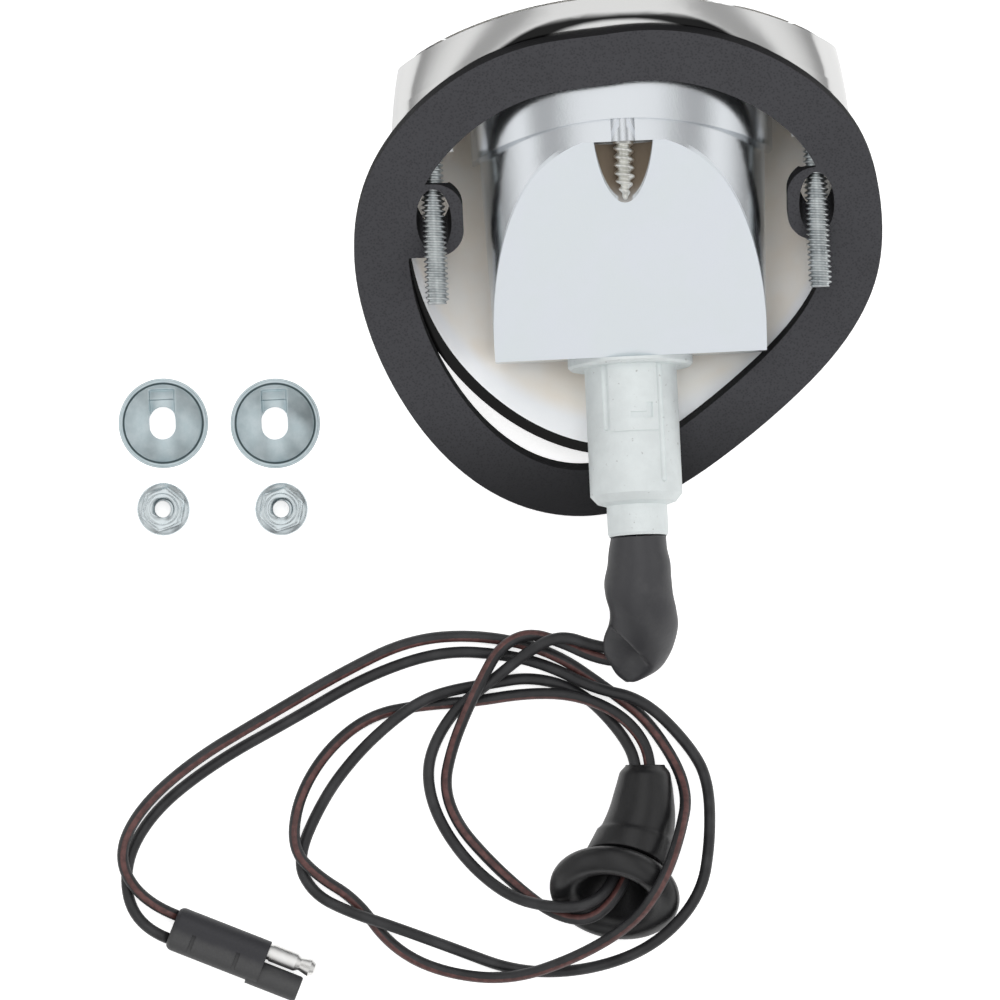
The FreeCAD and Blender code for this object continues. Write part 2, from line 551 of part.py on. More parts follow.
grommet = grommet.cut(mouth)
export("grommet", grommet)

# Connector: moulded body with a bullet and a barrel, side by side
half_width = CONNECTOR_WIDTH / 2
block = Part.makeBox(BODY_LENGTH, CONNECTOR_WIDTH, CONNECTOR_T, V(0, -half_width, 0))
block = block.makeFillet(2.9, [e for e in block.Edges if abs(e.tangentAt(e.FirstParameter).x) > 0.9])
block = block.makeFillet(1.4, [e for e in block.Edges if abs(e.CenterOfMass.x) < 0.01])
barrel = Part.makeCylinder(BARREL_R, 11.4, V(BODY_LENGTH - 2.4, -WAY, way_z), V(1, 0, 0))
far_edges = [e for e in barrel.Edges if e.CenterOfMass.x > BODY_LENGTH + 5]
barrel = barrel.makeFillet(0.7, [e for e in far_edges if e.Curve.TypeId == "Part::GeomCircle"])
block = block.fuse(barrel)
for s in (4.6, 14.6):
    block = block.cut(Part.makeBox(0.9, 4.4, 0.9, V(s, -half_width + 0.6, CONNECTOR_T - 0.6)))
block = block.cut(Part.makeCylinder(BULLET_R + 0.56, 40, V(BODY_LENGTH, WAY, way_z), V(1, 0, 0)))
female_length = 9.0
female_end = BODY_LENGTH + 9.0
female_start = V(female_end - female_length, -WAY, way_z)
block = block.cut(Part.makeCylinder(BULLET_R + 0.5, female_length, female_start, V(1, 0, 0)))
block = block.cut(Part.makeCylinder(BULLET_R - 0.2, 5.0, V(BODY_LENGTH - 5.0, WAY, way_z), V(1, 0, 0)))
bullet = turned([
    (-5.0, 0), (-5.0, BULLET_R - 0.2), (0.6, BULLET_R - 0.2), (0.6, BULLET_R), (6.2, BULLET_R),
    (7.2, BULLET_R - 0.55),
    (8.0, BULLET_R - 0.35), (BULLET_LENGTH - 1.2, BULLET_R), (BULLET_LENGTH - 0.3, BULLET_R - 0.6),
    (BULLET_LENGTH, BULLET_R - 1.2), (BULLET_LENGTH, 0)], V(BODY_LENGTH, WAY, way_z), V(1, 0, 0))
female = turned([
    (0, BULLET_R + 0.05), (0, BULLET_R + 0.5), (female_length - 0.8, BULLET_R + 0.5),
    (female_length - 0.8, BULLET_R + 0.05)],
    female_start, V(1, 0, 0))
for name, shape in (("connector_body", block), ("bullet_terminal", bullet), ("socket_terminal", female)):
    shape.Placement = connector_place.multiply(shape.Placement)
    export(name, shape)

# Cup washers: domed, with a slot down one side
sphere_r = (WASHER_R - WASHER_RIM) ** 2 / (2 * WASHER_RISE) + WASHER_RISE / 2
dome = Part.makeSphere(sphere_r, V(0, 0, WASHER_RISE - sphere_r))
dome_in = Part.makeSphere(sphere_r - WASHER_T, V(0, 0, WASHER_RISE - sphere_r))
cap = dome.cut(dome_in).common(Part.makeCylinder(WASHER_R, 20))
rim = Part.makeCylinder(WASHER_R, WASHER_RIM_T).cut(dome_in)
rim = rim.cut(Part.makeCylinder(WASHER_R - WASHER_RIM - 1.0, WASHER_RIM_T))
washer = cap.fuse(rim)
half_slot = WASHER_SLOT / 2
upright = Part.makeBox(WASHER_SLOT, 1.4, 20, V(-half_slot, -0.7, -5))
for end_y in (-0.7, 0.7):
    upright = upright.fuse(Part.makeCylinder(half_slot, 20, V(0, end_y, -5)))
lean = V(0, math.sin(math.radians(WASHER_LEAN)), math.cos(math.radians(WASHER_LEAN)))
slanted = Part.makeBox(WASHER_SLOT - 0.4, 4.6, 16, V(-half_slot + 0.2, 0, 0))
slanted.Placement = FreeCAD.Placement(V(0, -0.4, 1.6), FreeCAD.Rotation(V(0, 0, 1), lean))
washer = washer.cut(upright).cut(slanted)
washers = []
for x, y in ((-98.9, -38.3), (-75.2, -39.4)):
    one = washer.copy()
    one.translate(V(x, y, 0))
    washers.append(one)
export("cup_washers", Part.makeCompound(washers))

# Flange nuts
hexagon = [V(NUT_FLATS / math.sqrt(3) * math.cos(a), NUT_FLATS / math.sqrt(3) * math.sin(a), 0)
           for a in (math.radians(60 * k + 17) for k in range(6))]
nut = Part.Face(Part.makePolygon(hexagon + hexagon[:1])).extrude(V(0, 0, NUT_HEIGHT))
nut = nut.common(Part.makeCone(NUT_FLATS / 2 + 4.2, NUT_FLATS / 2 - 0.2, NUT_HEIGHT + 0.6))
skirt = Part.makeCone(NUT_FLANGE_R, NUT_FLATS / 2, 1.9)
nut = nut.fuse(skirt.common(Part.makeCylinder(NUT_FLANGE_R - 0.2, 1.9)))
nut = nut.cut(Part.makeCylinder(STUD_R, NUT_HEIGHT))
nut = nut.cut(Part.makeCone(STUD_R, STUD_R + 0.5, 0.7, V(0, 0, NUT_HEIGHT - 0.7)))
nuts = []
for x, y in ((-99.7, -56.5), (-74.7, -57.6)):
    one = nut.copy()
    one.translate(V(x, y, 0))
    nuts.append(one)
export("flange_nuts", Part.makeCompound(nuts))
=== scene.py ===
"""Looks of a car's reversing light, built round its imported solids."""
import math

import bpy
import numpy as np
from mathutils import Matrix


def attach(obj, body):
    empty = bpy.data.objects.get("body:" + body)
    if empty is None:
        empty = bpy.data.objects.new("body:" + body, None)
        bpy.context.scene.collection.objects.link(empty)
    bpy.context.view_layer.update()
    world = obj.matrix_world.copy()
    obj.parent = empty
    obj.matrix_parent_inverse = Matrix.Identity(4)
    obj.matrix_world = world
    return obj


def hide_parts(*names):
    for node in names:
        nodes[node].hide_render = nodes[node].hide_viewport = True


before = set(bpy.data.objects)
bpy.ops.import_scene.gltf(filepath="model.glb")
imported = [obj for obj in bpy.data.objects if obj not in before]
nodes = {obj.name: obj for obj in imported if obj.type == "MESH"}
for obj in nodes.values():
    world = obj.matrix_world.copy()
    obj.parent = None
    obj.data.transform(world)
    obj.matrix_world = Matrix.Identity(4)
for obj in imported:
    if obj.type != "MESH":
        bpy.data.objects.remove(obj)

MM = 0.001
TURN = 2 * math.pi
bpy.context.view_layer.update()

# Heights are written above the table; the frame's zero is the stud axis
STUD_HEIGHT = 39.0

# Mounting plane, leaning back from the table
PLANE_SIN = math.sin(math.radians(30))
PLANE_COS = math.cos(math.radians(30))

# Camera: straight above, as far as the picture's perspective shows
PICTURE_MIDDLE = (-28.36, -57.79)
CAMERA_HEIGHT = 1200.0
PICTURE_WIDTH = 212.0
CAMERA_ROLL = -2.6


def place(points):
    """Points in millimetres above the table, moved into the frame and turned into metres."""
    return (np.asarray(points, float) - (0, 0, STUD_HEIGHT)) * MM


def unit(vectors):
    """Vectors divided by their own lengths."""
    return vectors / np.linalg.norm(vectors, axis=-1, keepdims=True)


def off_plane(y, z):
    """How far a point or direction reaches along the mounting plane's normal, from its y and z."""
    return z * PLANE_COS - y * PLANE_SIN


# Meshes

def grid_object(name, grid, loop=False, caps=(False, False), shift=None):
    """Quads between neighbouring rows and columns of a grid of points.

    Columns always close round. Rows close too for a loop, or each end gets a fan to its middle. The map runs round
    the piece from 0 to 1, moved by shift on each row, and along it by the row's share of the rows.
    """
    rows, columns = grid.shape[:2]
    index = np.arange(rows * columns).reshape(rows, columns)
    below = np.roll(index, -1, axis=0) if loop else index[1:]
    above = index if loop else index[:-1]
    quads = np.stack([above, np.roll(above, -1, 1), np.roll(below, -1, 1), below], -1).reshape(-1, 4)
    points = grid.reshape(-1, 3)
    shift = np.zeros(rows) if shift is None else shift
    around = np.arange(columns)[None, :] / columns
    along = np.arange(rows)[:, None] / rows
    step = 1 / columns
    top = np.broadcast_to(around + shift[:, None], (rows, columns))
    height = np.broadcast_to(along, (rows, columns))
    lower_top = np.roll(top, -1, 0)
    count = len(above)
    corners = np.stack([
        np.stack([top[:count], height[:count]], -1),
        np.stack([top[:count] + step, height[:count]], -1),
        np.stack([lower_top[:count] + step, height[:count] + 1 / rows], -1),
        np.stack([lower_top[:count], height[:count] + 1 / rows], -1)], 2).reshape(-1, 2)
    faces = quads.tolist()
    maps = [corners]
    for end, capped in enumerate(caps):
        if capped:
            ring = index[-end]
            middle = len(points)
            points = np.vstack([points, grid[-end].mean(0)])
            pairs = np.stack([np.roll(ring, -1), ring, np.full(columns, middle)], -1)
            faces += (pairs[:, [1, 0, 2]] if end else pairs).tolist()
            maps.append(np.tile([0.5, float(end)], (3 * columns, 1)))
    mesh = bpy.data.meshes.new(name)
    mesh.from_pydata(points.tolist(), [], faces)
    layer = mesh.uv_layers.new(name="UVMap")
    layer.data.foreach_set("uv", np.vstack(maps).ravel())
    mesh.polygons.foreach_set("use_smooth", np.ones(len(faces), bool))
    mesh.update()
    thing = bpy.data.objects.new(name, mesh)
    bpy.context.collection.objects.link(thing)
    return thing


def joined(name, things):
    """Several objects made one, under one name."""
    with bpy.context.temp_override(active_object=things[0], selected_editable_objects=things):
        bpy.ops.object.join()
    things[0].name = name
    things[0].data.name = name
    return things[0]


def spline_line(name, route):
    """Points along the smooth spline that takes a route's points as its control points."""
    curve = bpy.data.curves.new(name, "CURVE")
    curve.dimensions = "3D"
    curve.resolution_u = 10
    spline = curve.splines.new("NURBS")
    spline.points.add(len(route) - 1)
    spline.points.foreach_set("co", np.c_[route, np.ones(len(route))].ravel())
    spline.order_u = 3
    spline.use_endpoint_u = True
    holder = bpy.data.objects.new(name, curve)
    mesh = bpy.data.meshes.new_from_object(holder)
    line = np.empty(3 * len(mesh.vertices))
    mesh.vertices.foreach_get("co", line)
    bpy.data.meshes.remove(mesh)
    bpy.data.objects.remove(holder)
    bpy.data.curves.remove(curve)
    return line.reshape(-1, 3)


def round_angles(columns):
    """Evenly spaced angles once round."""
    return np.arange(columns) / columns * TURN


def rings(centres, directions, radii, columns):
    """Circles across a path: centre + radius * (cos a * side + sin a * rise), side and rise square to the path."""
    directions = unit(directions)
    side = unit(np.cross(directions, (0, 0, 1)))
    rise = np.cross(side, directions)
    angle = round_angles(columns)[None, :, None]
    circle = np.cos(angle) * side[:, None] + np.sin(angle) * rise[:, None]
    return centres[:, None] + radii[:, None, None] * circle


def smooth_step(value, low, high):
    """0 below low, 1 above high, and a cubic between."""
    t = np.clip((value - low) / (high - low), 0, 1)
    return t * t * (3 - 2 * t)


def smooth_rows(rows, count):
    """Rows of numbers resampled on a smooth curve: each stretch is a cubic with slopes from its neighbours."""
    rows = np.asarray(rows, float)
    slopes = np.gradient(rows, axis=0)
    t = np.linspace(0, len(rows) - 1, count)
    i = np.minimum(t.astype(int), len(rows) - 2)
    s = (t - i)[:, None]
    a, b = rows[i], rows[i + 1]
    p, q = slopes[i], slopes[i + 1]
    return (2 * s**3 - 3 * s**2 + 1) * a + (s**3 - 2 * s**2 + s) * p + (3 * s**2 - 2 * s**3) * b + (s**3 - s**2) * q


def arc_length(line):
    """Distance along a line of points, starting from nought."""
    return np.concatenate([[0], np.cumsum(np.linalg.norm(np.diff(line, axis=0), axis=1))])


# Shader graph

class Value:
    """A shader socket on which arithmetic adds Math nodes."""

    def __init__(self, finish, socket):
        self.finish = finish
        self.socket = socket

    def math(self, operation, *others):
        return self.finish.node("Math", {"operation": operation}, dict(enumerate((self,) + others)))

    def __add__(self, other):
        return self.math("ADD", other)

    def __mul__(self, other):
        return self.math("MULTIPLY", other)

    def __sub__(self, other):
        return self.math("SUBTRACT", other)

    def __rsub__(self, other):
        return self.finish.node("Math", {"operation": "SUBTRACT"}, {0: other, 1: self})

    def __pow__(self, other):
        return self.math("POWER", other)

    __radd__ = __add__
    __rmul__ = __mul__

    def absolute(self):
        return self.math("ABSOLUTE")

    def fraction(self):
        return self.math("FRACT")

    def limited(self):
        return self.finish.node("Clamp", {}, {"Value": self})


class Graph:
    """A node tree, with a method for nodes of any kind."""

    def __init__(self, tree):
        self.tree = tree

    def node(self, kind, settings, sockets, out=0):
        """Adds a node, sets it up, then fills or links its sockets; gives one of its outputs."""
        made = self.tree.nodes.new("ShaderNode" + kind)
        for key, setting in settings.items():
            setattr(made, key, setting)
        for key, given in sockets.items():
            if isinstance(given, Value):
                self.tree.links.new(given.socket, made.inputs[key])
            else:
                made.inputs[key].default_value = given
        return Value(self, made.outputs[out])

    def parts(self, vector, count):
        """The first components of a vector."""
        split = self.node("SeparateXYZ", {}, {"Vector": vector}).socket.node
        return [Value(self, split.outputs[i]) for i in range(count)]

    def step(self, value, low, high):
        """Smooth step from 0 at low to 1 at high."""
        sockets = {"Value": value, "From Min": low, "From Max": high}
        return self.node("MapRange", {"interpolation_type": "SMOOTHSTEP"}, sockets)

    def band(self, value, low, high, soft):
        """1 between low and high, falling to 0 over soft on both sides."""
        return self.step(value, low - soft, low) * (1 - self.step(value, high, high + soft))


class Finish(Graph):
    """One procedural material."""

    def __init__(self, name):
        self.material = bpy.data.materials.new(name)
        self.material.use_nodes = True
        super().__init__(self.material.node_tree)
        self.shader = self.tree.nodes["Principled BSDF"]

    def place(self):
        """Object coordinates in metres, as one vector."""
        return self.node("TexCoord", {}, {}, "Object")

    def axes(self):
        """The three Object coordinates in metres."""
        return self.parts(self.place(), 3)

    def round_share(self):
        """Share of the way round the piece, from its own map."""
        return self.parts(self.node("TexCoord", {}, {}, "UV"), 1)[0]

    def normal_axes(self):
        """The three components of the surface's normal."""
        return self.parts(self.node("NewGeometry", {}, {}, "Normal"), 3)

    def noise(self, size, detail=2.0, rough=0.5):
        """Cloudy pattern whose spots are about that many millimetres across."""
        sockets = {"Vector": self.place(), "Scale": 1 / (size * MM), "Detail": detail, "Roughness": rough}
        return self.node("TexNoise", {}, sockets, "Fac")

    def cells(self, size):
        """Distance to the nearest of many scattered points, about that many millimetres apart."""
        return self.node("TexVoronoi", {}, {"Vector": self.place(), "Scale": 1 / (size * MM)}, "Distance")

    def blend(self, factor, first, second):
        """Colour mixed from first to second; 6, 7 and 2 are the Mix node's sockets for colours."""
        return self.node("Mix", {"data_type": "RGBA"}, {0: factor, 6: first, 7: second}, 2)

    def facing(self, centre):
        """Cosine between the surface's normal and the line out of a centre."""
        out = self.node("VectorMath", {"operation": "SUBTRACT"}, {0: self.place(), 1: centre})
        out = self.node("VectorMath", {"operation": "NORMALIZE"}, {0: out})
        normal = self.node("NewGeometry", {}, {}, "Normal")
        return self.node("VectorMath", {"operation": "DOT_PRODUCT"}, {0: out, 1: normal}, "Value")

    def bump(self, height, millimetres, strength=1.0):
        """Normal tilted by a height that counts for that many millimetres."""
        sockets = {"Height": height, "Distance": millimetres * MM, "Strength": strength}
        return self.node("Bump", {}, sockets, "Normal")

    def set(self, **inputs):
        """Fills or links the surface shader's sockets, named with _ for spaces."""
        for key, given in inputs.items():
            socket = self.shader.inputs[key.replace("_", " ")]
            if isinstance(given, Value):
                self.tree.links.new(given.socket, socket)
            else:
                socket.default_value = given


def shade(level):
    """A neutral colour of that brightness."""
    return (level, level, level, 1)


def plated_steel(name, pale, dark, rough, pit=0.35):
    """Bright plate: cloudy tint, fine pits in the bump, and dull patches in the gloss."""
    f = Finish(name)
    cloud = f.noise(3.0, 4.0, 0.6)
    pits = f.noise(0.25, 2.0)
    f.set(Base_Color=f.blend(f.step(cloud, 0.3, 0.7), dark, pale), Metallic=1.0,
          Roughness=f.step(cloud, 0.2, 0.9) * 0.12 + rough, Normal=f.bump(pits, 0.02, pit))
    return f.material


def washer_plate():
    """Satin zinc, blue-grey and cloudy, with painted shade: a dark line in each washer's groove and round its edge."""
    f = Finish("washer_plate")
    x, y = f.axes()[:2]
    first, second = [((x - a * MM) ** 2 + (y - b * MM) ** 2) ** 0.5 for a, b in WASHER_PLACES]
    radius = first.math("MINIMUM", second)
    # painted shade: a dark line over the groove, and a darker band round the outer edge
    line = f.band(radius, (WASHER_DOME_R - SHADE_LINE_HALF) * MM, (WASHER_DOME_R + SHADE_LINE_HALF) * MM, SHADE_LINE_HALF * MM)
    edge = f.step(radius, (WASHER_R - 0.25) * MM, (WASHER_R - 0.05) * MM)
    cloud = f.noise(2.5, 4.0, 0.6)
    plate = f.blend(f.step(cloud, 0.3, 0.7), (0.54, 0.64, 0.67, 1), (0.64, 0.73, 0.76, 1))
    f.set(Base_Color=f.blend(line * 0.85 + edge * 0.5, plate, (0.10, 0.14, 0.15, 1)), Metallic=1.0,
          Roughness=f.step(cloud, 0.2, 0.8) * 0.10 + 0.34, Normal=f.bump(f.noise(0.4, 2.0), 0.02, 0.3))
    return f.material


# Gasket's tail, where painted shade darkens the foam to the rear
TAIL_REAR = -62
TAIL_FRONT = -34


def foam_rubber():
    """Closed-cell foam: charcoal, with fine open cells that catch the light; painted shade darkens its cut edges and
    its tail.
    """
    f = Finish("gasket_foam")
    cloud = f.noise(9.0, 3.0)
    speck = f.step(f.cells(0.55), 0.1, 0.6)
    tone = (speck * 0.6 + cloud * 0.5).limited()
    # painted shade: cut edges, whose normals lie along the mounting plane, are coloured darker
    edge = 1 - f.step(off_plane(*f.normal_axes()[1:]).absolute(), 0.4, 0.8)
    foam = f.blend(tone, (0.027, 0.027, 0.030, 1), (0.050, 0.050, 0.055, 1))
    # painted shade: the foam darkens towards the gasket's tail at the rear
    tail_shade = (1 - f.step(f.axes()[1], TAIL_REAR * MM, TAIL_FRONT * MM)) * 0.9
    foam = f.blend(tail_shade, foam, (0.012, 0.012, 0.013, 1))
    f.set(Base_Color=f.blend(edge, foam, (0.010, 0.010, 0.011, 1)), Specular_IOR_Level=0.25,
          Roughness=f.step(cloud, 0.2, 0.8) * 0.1 + 0.78, Normal=f.bump(speck, 0.08, 0.5))
    return f.material


# Pod's rim, measured off the mounting plane, and the height inside the pod from which its walls face away
RIM_HEIGHT = -3
POD_MIDDLE = -9


def pod_plate():
    """Chrome on the outside of the pod; inside, satin plate with a warm grainy cast, bluer at the lip; the rim's face
    is painted black as a dark reflection.
    """
    f = Finish("pod_plate")
    height = off_plane(*f.axes()[1:])
    # painted dark reflection: the rim's face, flat in the mounting plane, is coloured near black
    rim = f.band(height, (RIM_HEIGHT - 0.2) * MM, (RIM_HEIGHT + 0.2) * MM, 0.2 * MM)
    rim = f.step(off_plane(*f.normal_axes()[1:]), 0.93, 0.97) * rim
    lip = f.step(height, (RIM_HEIGHT - 5.5) * MM, (RIM_HEIGHT - 2.5) * MM)
    inside = 1 - f.step(f.facing((0, 0, POD_MIDDLE * MM)), -0.05, 0.05)
    grain = f.noise(0.35, 3.0, 0.7)
    cloud = f.noise(14.0, 3.0)
    warm = f.blend(f.step(cloud, 0.3, 0.7), (0.96, 0.89, 0.80, 1), (0.98, 0.96, 0.92, 1))
    warm = f.blend(lip, warm, (0.94, 0.95, 0.97, 1))
    plate = f.blend(inside, (0.67, 0.67, 0.665, 1), warm)
    f.set(Base_Color=f.blend(rim, plate, (0.012, 0.012, 0.012, 1)), Metallic=1 - inside * 0.85 - rim * 0.15,
          Roughness=inside * (grain * 0.16 + 0.24) + 0.16, Normal=f.bump(grain * inside, 0.05, 0.5))
    return f.material


# Reflector's sloping face: its rear edge, and its rise for each step forward; the screw boss and the notch behind it
FACE_REAR = (-29.4, 33.4 - STUD_HEIGHT)
FACE_LIFT = 15.2 / 43.4
BOSS_REAR = 13.6
NOTCH_HALF = 6.2


def reflector_plate():
    """Plated casting: the sloping face is satin and pale, the sides are bright, the notch is painted dark brown as
    shade and is less metallic.
    """
    f = Finish("reflector_plate")
    x, y, z = f.axes()
    above = z - FACE_REAR[1] * MM - (y - FACE_REAR[0] * MM) * FACE_LIFT
    lean = f.normal_axes()[2]
    face = (1 - f.step(above.absolute(), 0.2 * MM, 0.4 * MM)) * (1 - f.step(lean, 0.965, 0.985))
    grain = f.noise(0.4, 3.0, 0.7)
    cloud = f.noise(12.0, 3.0)
    # painted shade: the notch behind the screw boss is coloured dark brown
    notch = f.step(y, -4 * MM, 6 * MM) * (1 - f.step(y, BOSS_REAR * MM, (BOSS_REAR + 0.3) * MM))
    notch = notch * (1 - f.step(x.absolute(), NOTCH_HALF * MM, (NOTCH_HALF + 0.4) * MM))
    notch = notch * f.step(z, 4.5 * MM, 5.2 * MM) * (1 - face)
    pale = f.blend(f.step(cloud, 0.3, 0.7), (0.85, 0.90, 0.93, 1), (0.87, 0.91, 0.96, 1))
    plate = f.blend(face, (0.70, 0.73, 0.76, 1), pale)
    f.set(Base_Color=f.blend(notch, plate, (0.17, 0.135, 0.10, 1)), Metallic=1 - notch * 0.6,
          Roughness=face * (grain * 0.08 + 0.24) + notch * 0.2 + 0.17 + cloud * 0.06,
          Normal=f.bump(grain, 0.04, 0.4))
    return f.material


def cast_zinc(name, pale, dark, rough):
    """Bare zinc casting: soft mottling, a skin of fine ripples and small dark flecks."""
    f = Finish(name)
    cloud = f.noise(4.0, 4.0, 0.6)
    skin = f.noise(0.8, 3.0, 0.6)
    fleck = f.step(f.noise(1.1, 2.0), 0.68, 0.78)
    tone = f.blend(f.step(cloud, 0.3, 0.7), dark, pale)
    f.set(Base_Color=f.blend(fleck * 0.5, tone, (0.35, 0.34, 0.33, 1)), Metallic=0.75,
          Roughness=f.step(cloud, 0.2, 0.8) * 0.12 + rough, Normal=f.bump(skin, 0.12, 0.5))
    return f.material


def moulded_rubber(name, tone, rough, grain_mm, relief):
    """Black moulding: fine grain, slightly worn shine and faint dust."""
    f = Finish(name)
    grain = f.noise(grain_mm, 3.0, 0.6)
    dust = f.step(f.noise(5.0, 5.0, 0.65), 0.45, 0.75)
    dark = (tone, tone, tone * 1.10, 1)
    f.set(Base_Color=f.blend(dust * 0.35, dark, (tone * 2.2, tone * 2.2, tone * 2.25, 1)),
          Roughness=grain * 0.14 + dust * 0.1 + rough, Normal=f.bump(grain, relief, 0.6))
    return f.material


def connector_moulding():
    """Black moulding, fine-grained: its near half painted lighter grey as light falling on it, its far half left dark.
    """
    f = Finish("connector_moulding")
    x, y = f.axes()[:2]
    right, away = x - CONNECTOR_AT[0] * MM, y - CONNECTOR_AT[1] * MM
    across = away * math.cos(CONNECTOR_TURN) - right * math.sin(CONNECTOR_TURN)
    grain = f.noise(0.45, 3.0, 0.6)
    # painted light: the near half across the connector is coloured lighter grey, the far half dark
    wear_and_painted_light = 1 - f.step(across + (f.noise(4.0) - 0.5) * (2 * MM), -1.2 * MM, 0.8 * MM)
    tone = f.blend(wear_and_painted_light, (0.020, 0.020, 0.024, 1), (0.050, 0.050, 0.051, 1))
    f.set(Base_Color=f.blend(grain * 0.4, tone, (0.012, 0.012, 0.013, 1)), Roughness=grain * 0.16 + 0.44,
          Normal=f.bump(grain, 0.06, 0.6))
    return f.material


def wire_skin(name, stripe):
    """Wire insulation: fine grain along the wire, and a tracer stripe down one side where it has one."""
    f = Finish(name)
    grain = f.noise(0.35, 3.0, 0.7)
    dust = f.step(f.noise(6.0, 4.0), 0.4, 0.7)
    black = f.blend(dust * 0.5 + grain * 0.3, (0.008, 0.008, 0.009, 1), (0.030, 0.030, 0.032, 1))
    colour = black
    if stripe:
        offset = ((f.round_share() + 0.5).fraction() - 0.5).absolute()
        edge = offset + (grain - 0.5) * 0.05
        tracer = 1 - f.step(edge, 0.066, 0.094)
        wear_and_painted_light = f.blend(f.step(f.noise(1.5, 4.0), 0.35, 0.7), (0.058, 0.023, 0.021, 1), (0.108, 0.042, 0.038, 1))
        colour = f.blend(tracer * 0.9, black, wear_and_painted_light)
    f.set(Base_Color=colour, Roughness=grain * 0.22 + 0.34, Normal=f.bump(grain, 0.06, 0.7))
    return f.material


def clear_glass(name, tint, rough, flute=0.0):
    """Clear glass with faint waves and a trace of dust in the gloss; upright flutes on its front if given a width."""
    f = Finish(name)
    wave = f.noise(6.0, 2.0)
    height = wave * 0.05
    if flute:
        fold = ((f.axes()[0] * (1 / (flute * MM))).fraction() - 0.5).absolute()
        height = height + fold * fold * 2.4 * f.step(f.normal_axes()[1], 0.6, 0.8)
    f.set(Base_Color=tint, Transmission_Weight=1.0, IOR=1.5,
          Roughness=f.step(wave, 0.3, 0.8) * 0.05 + rough, Normal=f.bump(height, 1.0, 0.7))
    return f.material


def fibre_board():
    """Brown pressed fibre with a mottled grain."""
    f = Finish("fibre_board")
    grain = f.noise(0.7, 4.0, 0.7)
    f.set(Base_Color=f.blend(grain, (0.09, 0.04, 0.02, 1), (0.20, 0.11, 0.05, 1)),
          Roughness=grain * 0.2 + 0.6, Normal=f.bump(grain, 0.05))
    return f.material


def dress(thing, material):
    """One material over the whole of a piece."""
    thing.data.materials.clear()
    thing.data.materials.append(material)


def add_piece(thing, material, slot, *replaced):
    """A new piece that rides on the lamp and stands for the CAD nodes that it replaces."""
    dress(thing, material)
    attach(thing, "root")
    if replaced:
        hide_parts(*replaced)
    return thing


# Socket axis: from the reflector's rear face, rising to the rear
SOCKET_ORIGIN = np.array([0, -29.4, 21.6])
SOCKET_TILT = math.radians(5)
SOCKET_AXIS = np.array([0, -math.cos(SOCKET_TILT), math.sin(SOCKET_TILT)])
COLLAR_LENGTH = 37.4


def along_socket(distance, x=0.0):
    """Point at a distance behind the socket's flange, x to the right of its axis."""
    return tuple(SOCKET_ORIGIN + SOCKET_AXIS * distance + (x, 0, 0))


CONNECTOR_AT = (-101.6, -144.8)
CONNECTOR_TURN = math.radians(-24)
WAY = 2.6
WAY_HEIGHT = 3.6


def at_connector(along, across):
    """Point along and across the connector, at the height of its two ways."""
    c, s = math.cos(CONNECTOR_TURN), math.sin(CONNECTOR_TURN)
    return (CONNECTOR_AT[0] + along * c - across * s, CONNECTOR_AT[1] + along * s + across * c, WAY_HEIGHT)


# Wires
WIRE_D = 2.4
WIRE_START = 18.2
FEED_ROUTE = [
    along_socket(WIRE_START, 2.7), along_socket(27, 2.7), along_socket(COLLAR_LENGTH, 1.6),
    (1.4, -75, 25), (2.4, -83.7, 20.7), (2.8, -90.2, 14), (-2.2, -93.2, 8.6), (-9.5, -92.2, 6.2), (-17, -88.2, 3.8),
    (-24, -86, 3.9), (-30, -89, 4.8), (-34, -95.5, 6.9), (-37.5, -102, 7), (-41, -110, 3.6), (-43, -118, 1.4),
    (-40.5, -126, 1.2), (-34.5, -133.5, 1.8), (-28, -140, 4.2), (-21, -145.5, 9.2), (-14, -147, 12.6),
    (-8.4, -143.2, 12.6), (-3.8, -135.5, 9.6), (-0.4, -126.5, 7.2), (1.1, -115, 5.2), (-0.9, -108.6, 3.2),
    (-6.5, -103, 4), (-15, -99.4, 3.9), (-25, -98.9, 1.4), (-36, -100.2, 1.2), (-47, -100.4, 1.2), (-58, -102, 1.2),
    (-67.5, -109, 1.3), (-74, -119, 3.2), (-75.6, -129.5, 4.2), (-70.5, -135.5, 2.8), (-62.5, -141, 1.2),
    (-56, -151, 1.2), (-46, -157, 1.4), (-31, -159.4, 3.9), (-16, -154.5, 9), (-4.5, -147.5, 17), (1.5, -139.5, 23),
    (5.8, -130.5, 17), (8.8, -120, 6.5), (1.4, -106.2, 1.3), (-6.6, -99.4, 1.2), (-19, -90, 1.2), (-34, -86, 1.2),
    (-49, -86.4, 1.3), (-64, -93, 2.2), (-80, -101.4, 3.5), (-96, -110, 3.7), (-108, -120, 3.8), (-112.6, -130, 4.8),
    at_connector(-7.5, WAY), at_connector(0, WAY)]
